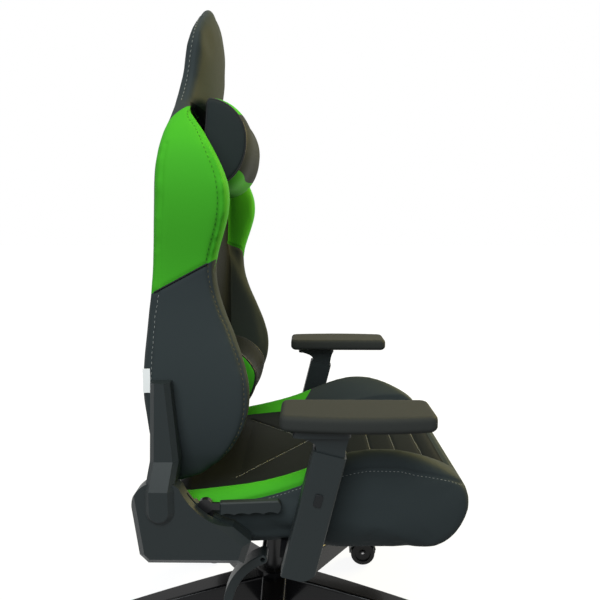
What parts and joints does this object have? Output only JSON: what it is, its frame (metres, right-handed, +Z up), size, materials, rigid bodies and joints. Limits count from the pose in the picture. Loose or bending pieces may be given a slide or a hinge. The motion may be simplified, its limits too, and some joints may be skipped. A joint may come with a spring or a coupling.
{
  "type": "gaming chair",
  "caption": "Racing-style gaming chair with a winged reclining backrest, bucket seat, adjustable armrests, head and lumbar pillows, on a gas lift and castor base.",
  "frame": {"origin": "on the floor under the gas lift's axis", "axes": "+Z up, the sitter faces -Y, +X to the sitter's left"},
  "size_m": [0.7336, 0.7006, 1.263],
  "materials": {
    "upholstery": "dark grey and green synthetic leather, soft sheen",
    "black_plastic": "fine grain",
    "arm_pad": "soft matt foam skin",
    "gloss_base": "gloss",
    "wheel_plastic": "satin",
    "black_steel": "powder coat",
    "steel": "bright",
    "strap": "woven elastic"
  },
  "bodies": {
    "base": {"base_star": "gloss_base", "gas_lift_tube": "black_steel"},
    "castor_1": {"castor_housing_1": "black_plastic", "castor_pins_1": "steel"},
    "wheels_1": {"castor_wheels_1": "wheel_plastic"},
    "castor_2": {"castor_housing_2": "black_plastic", "castor_pins_2": "steel"},
    "wheels_2": {"castor_wheels_2": "wheel_plastic"},
    "castor_3": {"castor_housing_3": "black_plastic", "castor_pins_3": "steel"},
    "wheels_3": {"castor_wheels_3": "wheel_plastic"},
    "castor_4": {"castor_housing_4": "black_plastic", "castor_pins_4": "steel"},
    "wheels_4": {"castor_wheels_4": "wheel_plastic"},
    "castor_5": {"castor_housing_5": "black_plastic", "castor_pins_5": "steel"},
    "wheels_5": {"castor_wheels_5": "wheel_plastic"},
    "column": {"gas_lift_column": "steel"},
    "mechanism": {"mechanism_housing": "black_steel", "tilt_axle": "steel"},
    "knob": {"tension_knob": "black_plastic"},
    "lever_pivot": {"lever_ball": "black_plastic"},
    "lever": {"lift_lever_rod": "black_steel", "lift_lever_paddle": "black_plastic"},
    "seat": {"seat_plate": "black_steel", "seat_frame": "black_steel", "seat_bolts": "steel", "seat_cushion": "upholstery", "hinge_pins": "steel", "hinge_lower_plate_left": "black_steel", "hinge_cover_lower_left": "black_plastic", "armrest_bracket_left": "black_steel", "armrest_casing_left": "black_plastic", "hinge_lower_plate_right": "black_steel", "hinge_cover_lower_right": "black_plastic", "armrest_bracket_right": "black_steel", "armrest_casing_right": "black_plastic"},
    "recline_lever": {"recline_lever_plate": "black_steel", "recline_lever_handle": "black_plastic"},
    "backrest": {"backrest_frame": "black_steel", "backrest_cushion": "upholstery", "head_pillow": "upholstery", "head_pillow_strap": "strap", "lumbar_pillow": "upholstery", "hinge_upper_plate_left": "black_steel", "hinge_cover_upper_left": "black_plastic", "hinge_upper_plate_right": "black_steel", "hinge_cover_upper_right": "black_plastic"},
    "arm_left": {"armrest_slider_left": "black_plastic"},
    "arm_button_left": {"armrest_button_left": "black_plastic"},
    "arm_swivel_left": {"armrest_swivel_left": "black_plastic"},
    "arm_pad_left": {"armrest_pad_left": "arm_pad"},
    "arm_right": {"armrest_slider_right": "black_plastic"},
    "arm_button_right": {"armrest_button_right": "black_plastic"},
    "arm_swivel_right": {"armrest_swivel_right": "black_plastic"},
    "arm_pad_right": {"armrest_pad_right": "arm_pad"}
  },
  "joints": [
    {"name": "castor_swivel_1", "type": "hinge", "parent": "base", "child": "castor_1", "pos_m": [-0.322, 0, 0.072], "axis": [0, 0, 1], "continuous": true},
    {"name": "wheel_roll_1", "type": "hinge", "parent": "castor_1", "child": "wheels_1", "pos_m": [-0.33347, 0.01638, 0.03], "axis": [0.8192, 0.5736, 0], "continuous": true},
    {"name": "castor_swivel_2", "type": "hinge", "parent": "base", "child": "castor_2", "pos_m": [-0.0995, -0.30624, 0.072], "axis": [0, 0, 1], "continuous": true},
    {"name": "wheel_roll_2", "type": "hinge", "parent": "castor_2", "child": "wheels_2", "pos_m": [-0.11154, -0.29027, 0.03], "axis": [0.7986, 0.6018, 0], "continuous": true},
    {"name": "castor_swivel_3", "type": "hinge", "parent": "base", "child": "castor_3", "pos_m": [0.2605, -0.18927, 0.072], "axis": [0, 0, 1], "continuous": true},
    {"name": "wheel_roll_3", "type": "hinge", "parent": "castor_3", "child": "wheels_3", "pos_m": [0.26015, -0.20926, 0.03], "axis": [-0.9998, 0.0175, 0], "continuous": true},
    {"name": "castor_swivel_4", "type": "hinge", "parent": "base", "child": "castor_4", "pos_m": [0.2605, 0.18927, 0.072], "axis": [0, 0, 1], "continuous": true},
    {"name": "wheel_roll_4", "type": "hinge", "parent": "castor_4", "child": "wheels_4", "pos_m": [0.26085, 0.16927, 0.03], "axis": [-0.9998, -0.0175, 0], "continuous": true},
    {"name": "castor_swivel_5", "type": "hinge", "parent": "base", "child": "castor_5", "pos_m": [-0.0995, 0.30624, 0.072], "axis": [0, 0, 1], "continuous": true},
    {"name": "wheel_roll_5", "type": "hinge", "parent": "castor_5", "child": "wheels_5", "pos_m": [-0.08747, 0.32221, 0.03], "axis": [0.7986, -0.6018, 0], "continuous": true},
    {"name": "seat_height", "type": "slide", "parent": "base", "child": "column", "axis": [0, 0, 1], "range_m": [0, 0.08]},
    {"name": "seat_swivel", "type": "hinge", "parent": "column", "child": "mechanism", "pos_m": [0, 0, 0.28], "axis": [0, 0, 1], "continuous": true},
    {"name": "seat_tilt", "type": "hinge", "parent": "mechanism", "child": "seat", "pos_m": [0, -0.06, 0.306], "axis": [-1, 0, 0], "range_deg": [0, 10], "stiffness_Nm_per_rad": 120, "springref_deg": -22.92},
    {"name": "tension_knob_turn", "type": "hinge", "parent": "mechanism", "child": "knob", "pos_m": [0, -0.076, 0.25], "axis": [0, 0, 1], "continuous": true},
    {"name": "lift_lever_pull", "type": "hinge", "parent": "mechanism", "child": "lever_pivot", "pos_m": [-0.0735, 0.008, 0.284], "axis": [0, 1, 0], "range_deg": [0, 5], "stiffness_Nm_per_rad": 3, "springref_deg": -5.73},
    {"name": "tilt_lock_slide", "type": "slide", "parent": "lever_pivot", "child": "lever", "axis": [-1, 0, 0], "range_m": [0, 0.015]},
    {"name": "backrest_recline", "type": "hinge", "parent": "seat", "child": "backrest", "pos_m": [0, 0.165, 0.405], "axis": [-1, 0, 0], "range_deg": [0, 60]},
    {"name": "recline_lever_lift", "type": "hinge", "parent": "seat", "child": "recline_lever", "pos_m": [-0.28, 0.096, 0.404], "axis": [-1, 0, 0], "range_deg": [0, 20], "stiffness_Nm_per_rad": 1.5, "springref_deg": -11.46},
    {"name": "arm_height_left", "type": "slide", "parent": "seat", "child": "arm_left", "axis": [0, -0.2419, 0.9703], "range_m": [0, 0.07]},
    {"name": "arm_button_press_left", "type": "slide", "parent": "seat", "child": "arm_button_left", "axis": [-1, 0, 0], "range_m": [0, 0.0025], "stiffness_N_per_m": 1000, "springref_m": -0.002},
    {"name": "arm_pad_turn_left", "type": "hinge", "parent": "arm_left", "child": "arm_swivel_left", "pos_m": [0.314, -0.09, 0.544], "axis": [0, 0, 1], "range_deg": [-15, 15]},
    {"name": "arm_pad_slide_left", "type": "slide", "parent": "arm_swivel_left", "child": "arm_pad_left", "axis": [0, -1, 0], "range_m": [-0.02, 0.02]},
    {"name": "arm_height_right", "type": "slide", "parent": "seat", "child": "arm_right", "axis": [0, -0.2419, 0.9703], "range_m": [0, 0.07]},
    {"name": "arm_button_press_right", "type": "slide", "parent": "seat", "child": "arm_button_right", "axis": [1, 0, 0], "range_m": [0, 0.0025], "stiffness_N_per_m": 1000, "springref_m": -0.002},
    {"name": "arm_pad_turn_right", "type": "hinge", "parent": "arm_right", "child": "arm_swivel_right", "pos_m": [-0.314, -0.09, 0.544], "axis": [0, 0, 1], "range_deg": [-15, 15]},
    {"name": "arm_pad_slide_right", "type": "slide", "parent": "arm_swivel_right", "child": "arm_pad_right", "axis": [0, -1, 0], "range_m": [-0.02, 0.02]}
  ]
}
